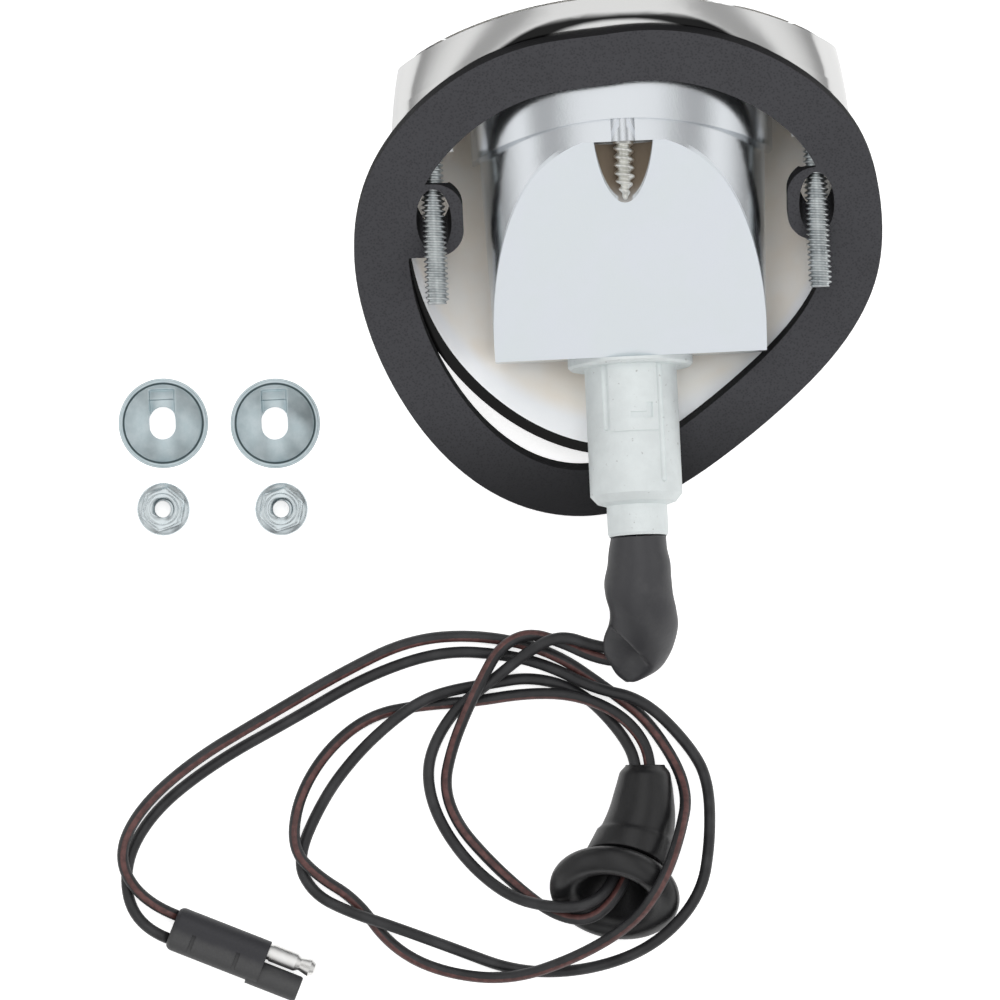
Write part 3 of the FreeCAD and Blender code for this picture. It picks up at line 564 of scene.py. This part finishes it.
GROUND_ROUTE = [
    along_socket(WIRE_START, -2.7), along_socket(27, -2.7), along_socket(COLLAR_LENGTH, -1.6),
    (-1.4, -75, 25), (-0.4, -83.3, 20.3), (0.2, -88.6, 13.4), (-2.2, -90.8, 7.6), (-9.5, -89.6, 6.4),
    (-17, -86.6, 7.6), (-24, -90, 5.8), (-32, -96, 4.3), (-40, -101.5, 4.3), (-45.5, -110, 1.8), (-46.5, -117.5, 1.2),
    (-44, -126, 1.2), (-38, -135, 2.2), (-30, -141.6, 6.6), (-22, -143.6, 12), (-14.6, -143.8, 14.6),
    (-9.4, -140.6, 13.6), (-6.6, -134.5, 9.8), (-3.4, -126.5, 7.2), (-1.7, -115, 5.4), (-5.2, -107.6, 1.6),
    (-13, -99, 1.2), (-23, -95.4, 1.2), (-33, -96.6, 1.3), (-41, -97.6, 2.2), (-47, -99.4, 3.8), (-53, -103.2, 3.8),
    (-61, -110, 1.6), (-68.5, -119, 1.2), (-75, -132, 1.2), (-71.6, -139.4, 1.4), (-64, -143.4, 3.7),
    (-55.5, -146.6, 3.9), (-43, -152, 1.4), (-29, -158, 1.2), (-14, -158, 4), (0, -153, 10.5), (10, -142.6, 14.5),
    (12.6, -131, 10.5), (13, -119, 3.5), (9.4, -111.5, 1.6), (0.2, -101.2, 3.7), (-10.6, -98.4, 3.7),
    (-18.5, -93.8, 1.4), (-28, -90.6, 1.2), (-42, -89, 1.2), (-58, -93.6, 1.2), (-74, -102, 1.2), (-91, -110.4, 1.2),
    (-105, -120.4, 1.2), (-111.8, -132, 1.3), at_connector(-7.5, -WAY), at_connector(0, -WAY)]


def wire(name, route, roll):
    """Tube along the route's spline: a circle of the wire's radius at each point, its map rolled along the length."""
    line = spline_line(name, place(route))
    run = arc_length(line)
    grid = rings(line, np.gradient(line, axis=0), np.full(len(line), WIRE_D / 2 * MM), 16)
    shift = roll[0] + roll[1] * np.sin(run / MM / 46) + roll[2] * run / MM / 600
    return grid_object(name, grid, caps=(True, True), shift=shift), line, run[-1]


# Sleeve: centre, half width across and half height of its sections, from the collar to the flattened tip
SLEEVE_SECTIONS = [
    (0.0, -66.7, 24.9, 5.75, 5.75), (-0.2, -69.5, 25.0, 6.1, 5.7), (-0.1, -72.5, 25.0, 6.6, 5.5),
    (-0.5, -75.8, 24.6, 7.0, 5.2), (-0.4, -79.0, 23.4, 7.0, 5.0), (0.2, -82.0, 21.4, 7.0, 4.8),
    (0.3, -85.0, 18.6, 7.3, 4.6), (-0.4, -88.0, 15.2, 7.5, 4.4), (-0.9, -91.0, 11.6, 7.0, 4.1),
    (-1.2, -93.6, 8.4, 5.4, 3.6), (-2.4, -95.6, 6.2, 3.0, 2.7), (-3.2, -97.0, 5.0, 0.7, 0.8)]
SLEEVE_WALL = 0.9
SLEEVE_DENT = 0.55
CREASE_START = np.array([-7.2, -84.2])
CREASE_END = np.array([-0.6, -91.6])


def sleeve():
    """Soft tube of ellipses along its sections, its lower left pressed down along a slanting crease.

    A point above the middle drops by the dent's share of its rise where it lies beyond the crease line, by a smooth
    step over a millimetre, fading past the crease's two ends. Low ripples run round and along it.
    """
    rows = smooth_rows(SLEEVE_SECTIONS, 110)
    centre, wide, high = rows[:, :3], rows[:, 3:4], rows[:, 4:5]
    angle = round_angles(96)
    way = unit(np.gradient(centre, axis=0) * (0.25, 1, 1))
    rise = np.cross(unit(np.cross(way, (0, 0, 1))), way)
    t = np.linspace(0, 1, len(rows))[:, None]
    ripple = 1 + 0.02 * np.sin(3 * angle + 11 * t) * np.sin(math.pi * t) + 0.015 * np.sin(23 * t + 2 * angle) * t
    along_crease = CREASE_END - CREASE_START
    length = np.linalg.norm(along_crease)
    forward = along_crease / length
    skins = []
    for wall in (0.0, SLEEVE_WALL):
        a = np.maximum(wide - wall, 0.15) * ripple * np.cos(angle)
        b = np.maximum(high - wall, 0.15) * ripple * np.sin(angle)
        points = centre[:, None] + a[..., None] * (-1, 0, 0) + b[..., None] * rise[:, None]
        gap = points[..., :2] - CREASE_START
        run = gap @ forward
        side = gap @ np.array([forward[1], -forward[0]])
        beyond = smooth_step(side, -0.2, 0.9) * smooth_step(run, -2.5, 0.5) * (1 - smooth_step(run, length, length + 4))
        points = points - (beyond * np.maximum(b, 0) * SLEEVE_DENT)[..., None] * rise[:, None]
        skins.append(points)
    grid = np.concatenate([skins[0], skins[1][::-1]])
    return grid_object("wire_sleeve_skin", place(grid), loop=True)


# Grommet
FLANGE_AT = np.array([-8.2, -141.8, 11.8])
FLANGE_OUT = unit(np.array([-0.2, -0.715, 0.67]))
GROMMET_LINE = np.array([
    (-0.3, -115, 5.4), (-0.8, -120.5, 6.4), (-1.8, -126.5, 7.5), (-4.6, -134, 9.2)])
GROMMET_WAYS = unit(np.array([(-0.04, -1, 0.04), (-0.1, -1, 0.1), (-0.2, -0.96, 0.22), (-0.3, -0.88, 0.36)]))
GROMMET_RADII = np.array([5.0, 6.2, 7.3, 8.4])
GROMMET_BORE = 3.6
FLANGE_PROFILE = [
    (-3.6, 9.6), (-3.4, 11.6), (-2.6, 13.0), (-1.2, 13.75), (0.4, 13.6), (1.6, 12.6), (2.2, 11.2), (2.1, 9.8),
    (1.5, 8.6), (0.5, 7.7), (-0.8, 7.1), (-2.2, 6.4)]


def grommet():
    """Bent cone, rolled flange, then the mouth and bore back to the narrow end: rings of centre, way and radius.

    The cone is stepped out by half a millimetre at its seam, and its narrow end is rounded.
    """
    stem = np.c_[GROMMET_LINE, GROMMET_WAYS, GROMMET_RADII]
    profile = smooth_rows(FLANGE_PROFILE, 60)
    flange = np.c_[FLANGE_AT + profile[:, :1] * FLANGE_OUT, np.tile(FLANGE_OUT, (60, 1)), profile[:, 1]]
    neck = np.r_[FLANGE_AT - FLANGE_OUT * 4.6, FLANGE_OUT, 8.7]
    outside = smooth_rows(np.vstack([stem, (stem[-1] + neck) / 2, neck]), 70)
    t = np.linspace(0, 1, len(outside))
    outside[:, 6] += 0.5 * smooth_step(t, 0.47, 0.49) * (1 - smooth_step(t, 0.7, 1.0))
    outside[:, 6] -= 0.9 * (1 - smooth_step(t, 0.0, 0.09)) ** 2
    bore = stem.copy()[::-1]
    bore[:, 6] = GROMMET_BORE
    bore[0, 6] += 1.0
    inside = smooth_rows(np.vstack([flange[-1], bore]), 24)[1:]
    rows = np.vstack([outside, flange, inside])
    grid = rings(place(rows[:, :3]), rows[:, 3:6], rows[:, 6] * MM, 64)
    return grid_object("grommet_moulding", grid, loop=True)


# Threads

def thread_form(turns):
    """Flank of a thread, from 0 at its root to 1 at its crest: a triangle wave of turns, flattened at both."""
    fold = np.abs(2 * (turns % 1) - 1)
    return np.clip((fold - 0.14) / 0.66, 0, 1)


def threaded_rod(name, axis_point, start_y, end_y, radius, pitch, depth, steps=12, tip=0.0):
    """Bar along Y whose radius dips by the depth once a pitch, each row turned so that the crest is a helix.

    The far end tapers: to a point over the tip's length, or by a small chamfer without one.
    """
    length = abs(end_y - start_y)
    way = math.copysign(1, end_y - start_y)
    rows = int(length / pitch * steps)
    s = np.linspace(0, length, rows)[:, None]
    angle = round_angles(40)
    form = thread_form(s / pitch + angle / TURN)
    chamfer = np.clip((length - s) / max(tip, 0.9), 0, 1)
    crest = radius * (0.12 + 0.88 * chamfer**0.8) if tip else radius - 0.55 * (1 - chamfer)
    r = np.maximum(crest - depth * (1 - form) * np.minimum(1, chamfer * 1.4), 0.1)
    grid = np.stack([
        axis_point[0] + r * np.cos(angle) * np.ones_like(s),
        start_y + way * s * np.ones_like(angle),
        axis_point[1] + r * np.sin(angle) * np.ones_like(s)], -1)
    if way > 0:
        grid = grid[:, ::-1]
    return grid_object(name, place(grid), caps=(True, True))


STUD_X = 39.3
STUD_FRONT = 24.0
STUD_REAR = -17.1
STUD_R = 2.415
STUD_PITCH = 1.058
STUD_DEPTH = 0.62


def studs():
    """Two threaded bars, side by side."""
    sides = [threaded_rod(f"stud{i}", (x, STUD_HEIGHT), STUD_FRONT, STUD_REAR, STUD_R, STUD_PITCH, STUD_DEPTH)
             for i, x in enumerate((-STUD_X, STUD_X))]
    return joined("stud_threads", sides)


# Nuts
NUT_PLACES = ((-99.7, -56.5), (-74.7, -57.6))
NUT_FLATS = 8.0
NUT_HEIGHT = 5.2
NUT_CROWN = 4.55
NUT_COLLAR_R = 3.35
NUT_FLANGE_R = 5.6
NUT_TURN = math.radians(17)


def nut(name, x, y):
    """Ring of a profile carried round: flange, hexagon with a chamfered crown, then the threaded bore back down.

    The hexagon's radius at an angle is half the flats over the cosine of the angle to the nearest flat.
    """
    angle = round_angles(120)
    near = (angle - NUT_TURN) % (TURN / 6) - TURN / 12
    flat = NUT_FLATS / 2
    hexagon = flat / np.cos(near)
    # Height, radius, and whether the hexagon takes the radius's place
    outside = np.array([
        (0.0, NUT_FLANGE_R - 0.25, 0), (0.25, NUT_FLANGE_R, 0), (0.75, NUT_FLANGE_R - 0.05, 0),
        (0.95, NUT_FLANGE_R - 0.3, 0), (1.35, flat + 0.75, 0), (1.6, 0, 1), (3.4, 0, 1), (4.0, 0, 1), (4.3, 0, 1),
        (4.5, 0, 1), (NUT_CROWN, flat - 0.35, 0), (NUT_CROWN, NUT_COLLAR_R + 0.12, 0), (4.62, NUT_COLLAR_R, 0),
        (5.05, NUT_COLLAR_R - 0.02, 0), (NUT_HEIGHT, NUT_COLLAR_R - 0.2, 0), (NUT_HEIGHT, STUD_R + 0.3, 0)])
    heights, circle, on_hexagon = np.split(outside, 3, axis=1)
    crown = flat + 0.05 + 2.2 * (NUT_CROWN - heights)
    outer = np.where(on_hexagon, np.minimum(hexagon, crown), circle)
    outer = np.where((heights > 1.2) & (heights < 1.5), np.maximum(outer, hexagon), outer)
    depth = np.linspace(NUT_HEIGHT - 0.4, 0.1, 60)[:, None]
    bore = STUD_R - STUD_DEPTH * thread_form(depth / STUD_PITCH + angle / TURN)
    r = np.vstack([outer, bore])
    z = np.vstack([heights * np.ones_like(angle), depth * np.ones_like(angle)])
    grid = np.stack([x + r * np.cos(angle), y + r * np.sin(angle), z], -1)
    return grid_object(name, place(grid), loop=True)


def nuts():
    """The two nuts as one piece."""
    return joined("nut_threads", [nut(f"nut{i}", x, y) for i, (x, y) in enumerate(NUT_PLACES)])


# Cup washers
WASHER_PLACES = ((-98.9, -38.3), (-75.2, -39.4))
WASHER_R = 9.5
WASHER_DOME_R = 8.4
WASHER_RIM_R = 8.9
WASHER_T = 1.5
# Half width of the dark line painted as shade in the groove
SHADE_LINE_HALF = 0.12
SLOT_HALF = 2.8
SLOT_STRAIGHT = 0.65


def washer_height(x, y):
    """Height of a washer's upper face: a low dome, a groove round it, a rounded rim and a sunken ledge at the slot.

    The dome is a paraboloid. The ledge lowers it where x is inside the slot's width, more steeply below its middle.
    """
    r = np.hypot(x, y)
    dome = 0.9 + 3.4 * (1 - np.minimum(r / WASHER_DOME_R, 1) ** 2)
    groove = 0.30 * np.exp(-((r - WASHER_DOME_R) / 0.16) ** 2)
    rim = np.clip((r - WASHER_RIM_R) / (WASHER_R - WASHER_RIM_R), 0, 1)
    ledge = (1 - smooth_step(np.abs(x), 2.45, 2.75)) * smooth_step(y, 0.5, 1.0) * (1 - smooth_step(y, 6.9, 7.3))
    wall = 1 - smooth_step(y, 4.85, 5.1)
    drop = ledge * (0.75 + wall * (0.5 + 0.55 * np.clip(4.9 - y, 0, 2)))
    return dome - groove - 0.75 * rim**2.2 - drop


def washer(name, x, y):
    """Rings from the slotted hole out to the rim over the top, then back under it, closed into a loop.

    The hole is an upright slot with round ends; each ring's radius runs from the hole's to the rim's.
    """
    angle = round_angles(240)
    c, s = np.cos(angle), np.sin(angle)
    flat_side = SLOT_HALF / np.maximum(np.abs(c), 1e-6)
    round_end = SLOT_STRAIGHT * np.abs(s) + np.sqrt(SLOT_HALF**2 - (SLOT_STRAIGHT * c) ** 2)
    hole = np.where(flat_side * np.abs(s) < SLOT_STRAIGHT, flat_side, round_end)
    t = np.linspace(0, 1, 70)[:, None]
    r = hole + (WASHER_R - hole) * t
    top = washer_height(r * c, r * s)
    under = np.maximum(top - WASHER_T * (1 - 0.4 * t) + 0.15 * t, 0.0)
    under = np.minimum(under, top - 0.12)
    over = np.stack([x + r * c, y + r * s, top], -1)
    below = np.stack([x + r * c, y + r * s, under], -1)
    return grid_object(name, place(np.concatenate([over[::-1], below])), loop=True)


def washers():
    """The two washers as one piece."""
    return joined("washer_domes", [washer(f"washer{i}", x, y) for i, (x, y) in enumerate(WASHER_PLACES)])


# Lens screw
SCREW_HEIGHT = 46.6
SCREW_R = 2.085
SCREW_PITCH = 1.69
SCREW_DEPTH = 0.75
SCREW_POINT = 2.2
SCREW_TIP = 4.4


def lens_screw():
    """Round head and plain shank in the boss, then a self-tapping thread to its point behind the boss."""
    rows = np.array([
        (43.2, 0.3), (43.2, 1.5), (42.9, 2.4), (42.4, 3.3), (41.8, 3.85), (40.85, 3.85), (40.8, 3.7), (40.8, 2.0),
        (40.5, SCREW_R), (BOSS_REAR, SCREW_R)])
    centres = np.c_[np.zeros(len(rows)), rows[:, 0], np.full(len(rows), SCREW_HEIGHT)]
    grid = rings(place(centres), np.tile((0, -1.0, 0), (len(rows), 1)), rows[:, 1] * MM, 48)
    head = grid_object("screw_head", grid, caps=(True, True))
    thread = threaded_rod("screw_point", (0, SCREW_HEIGHT), BOSS_REAR, SCREW_POINT, SCREW_R, SCREW_PITCH, SCREW_DEPTH,
                          16, SCREW_TIP)
    return joined("screw_thread", [head, thread])


# Finishes of the solids that show as they are
zinc_plate = plated_steel("zinc_plate", (0.71, 0.82, 0.85, 1), (0.60, 0.71, 0.74, 1), 0.18, 0.2)
blue_zinc = plated_steel("blue_zinc", (0.78, 0.85, 0.87, 1), (0.62, 0.69, 0.72, 1), 0.22)
stud_plate = plated_steel("stud_plate", (0.74, 0.77, 0.77, 1), (0.50, 0.53, 0.54, 1), 0.26)
screw_plate = plated_steel("screw_plate", (0.90, 0.90, 0.86, 1), (0.70, 0.70, 0.66, 1), 0.30)
nickel = plated_steel("nickel_plate", (0.92, 0.92, 0.91, 1), (0.84, 0.83, 0.81, 1), 0.26, 0.15)
brass = plated_steel("plain_brass", (0.80, 0.58, 0.26, 1), (0.60, 0.42, 0.18, 1), 0.28)
tungsten = plated_steel("tungsten", (0.40, 0.40, 0.40, 1), (0.28, 0.28, 0.28, 1), 0.40)
FLUTE_WIDTH = 4.0
SOLID_FINISHES = {
    "pod_housing": pod_plate(), "mounting_gasket": foam_rubber(), "reflector": reflector_plate(),
    "socket_shell": cast_zinc("cast_zinc", (0.82, 0.86, 0.86, 1), (0.76, 0.80, 0.80, 1), 0.60),
    "lens": clear_glass("lens_glass", (0.97, 0.98, 0.98, 1), 0.02, FLUTE_WIDTH),
    "bulb_glass": clear_glass("bulb_glass", (0.98, 0.98, 0.98, 1), 0.01),
    "lens_seal": moulded_rubber("seal_rubber", 0.02, 0.7, 0.6, 0.05),
    "bulb_base": brass, "contact_button": brass, "socket_terminal": brass, "bulb_filament": tungsten,
    "contact_disc": fibre_board(), "contact_spring": zinc_plate, "bullet_terminal": nickel,
    "connector_body": connector_moulding()}
for node, material in SOLID_FINISHES.items():
    dress(nodes[node], material)

feed, feed_line, feed_length = wire("feed_wire_skin", FEED_ROUTE, (0.70, 0.14, 0.05))
ground, ground_line, ground_length = wire("ground_wire_skin", GROUND_ROUTE, (0, 0, 0))
add_piece(feed, wire_skin("feed_insulation", True), "feed_wire", "feed_wire")
add_piece(ground, wire_skin("ground_insulation", False), "ground_wire", "ground_wire")
vinyl = moulded_rubber("sleeve_vinyl", 0.030, 0.34, 0.9, 0.04)
sleeve_skin = add_piece(sleeve(), vinyl, "wire_sleeve", "wire_sleeve")
soft_rubber = moulded_rubber("grommet_rubber", 0.006, 0.26, 0.5, 0.05)
grommet_skin = add_piece(grommet(), soft_rubber, "grommet", "grommet")
add_piece(studs(), stud_plate, "mounting_studs", "mounting_studs")
add_piece(nuts(), blue_zinc, "flange_nuts", "flange_nuts")
add_piece(washers(), washer_plate(), "cup_washers", "cup_washers")
add_piece(lens_screw(), screw_plate, "lens_screw", "lens_screw")


# Floor, light and camera; the floor's width and its gap under the lamp are in metres
FLOOR_WIDTH = 2.4
FLOOR_GAP = 0.0002
FLOOR_GLOW = 0.62


def white_floor():
    """Flat sheet under the lamp that glows white to the eye and through glass, less in metal, and keeps the shadow."""
    half = FLOOR_WIDTH / 2
    table = -STUD_HEIGHT * MM - FLOOR_GAP
    corners = [(-half, -half, table), (half, -half, table), (half, half, table), (-half, half, table)]
    mesh = bpy.data.meshes.new("floor")
    mesh.from_pydata(corners, [], [(0, 1, 2, 3)])
    floor = bpy.data.objects.new("floor", mesh)
    bpy.context.collection.objects.link(floor)
    f = Finish("floor_white")
    f.set(Base_Color=shade(0.80), Roughness=0.9, Specular_IOR_Level=0.0)
    path = f.node("LightPath", {}, {}, "Is Camera Ray")
    glossy = Value(f, path.socket.node.outputs["Is Glossy Ray"])
    clear = Value(f, path.socket.node.outputs["Is Transmission Ray"])
    seen = (path + glossy * 0.2 + clear).limited()
    f.set(Emission_Color=f.blend(seen, shade(0), shade(1)), Emission_Strength=FLOOR_GLOW)
    floor.data.materials.append(f.material)


def lamp(name, where, aim, size, watts):
    """Square soft light at a place, turned to a point; it lights the piece but doesn't show in the metal."""
    light = bpy.data.lights.new(name, "AREA")
    light.size = size
    light.energy = watts
    thing = bpy.data.objects.new(name, light)
    thing.location = where
    thing.visible_glossy = False
    way = np.subtract(aim, where)
    thing.rotation_euler = (math.atan2(math.hypot(way[0], way[1]), -way[2]), 0, math.atan2(-way[0], way[1]))
    bpy.context.collection.objects.link(thing)


def surroundings():
    """World: white to the eye; as light, pale overhead, darker low down and in an upright strip on each side."""
    world = bpy.data.worlds.new("studio")
    bpy.context.scene.world = world
    world.use_nodes = True
    graph = Graph(world.node_tree)
    way = graph.parts(graph.node("TexCoord", {}, {}, "Generated"), 3)
    overhead = graph.step(way[2], 0.0, 0.75) * 0.66 + 0.40
    strip = graph.band(way[0].absolute(), 0.36, 0.5, 0.16)
    light = overhead * (1 - strip * 0.55)
    eye = graph.node("LightPath", {}, {}, "Is Camera Ray")
    back = world.node_tree.nodes["Background"]
    back.inputs["Color"].default_value = shade(1)
    strength = eye + (1 - eye) * light
    world.node_tree.links.new(strength.socket, back.inputs["Strength"])


def camera():
    """Camera straight above the picture's middle, as wide as the picture at the table."""
    data = bpy.data.cameras.new("camera")
    data.angle = 2 * math.atan(PICTURE_WIDTH / 2 / CAMERA_HEIGHT)
    data.clip_start = 0.01
    thing = bpy.data.objects.new("camera", data)
    thing.location = place([(*PICTURE_MIDDLE, CAMERA_HEIGHT)])[0]
    thing.rotation_euler = (0, 0, math.radians(CAMERA_ROLL))
    bpy.context.collection.objects.link(thing)
    bpy.context.scene.camera = thing


white_floor()
surroundings()
camera()
lamp("key", (0.6, -0.35, 0.9), (0, -0.03, 0), 0.9, 3.5)
lamp("fill", (-0.1, 0.25, 1.2), (0, -0.02, 0), 0.7, 6.5)
bpy.context.scene.view_settings.view_transform = "Standard"
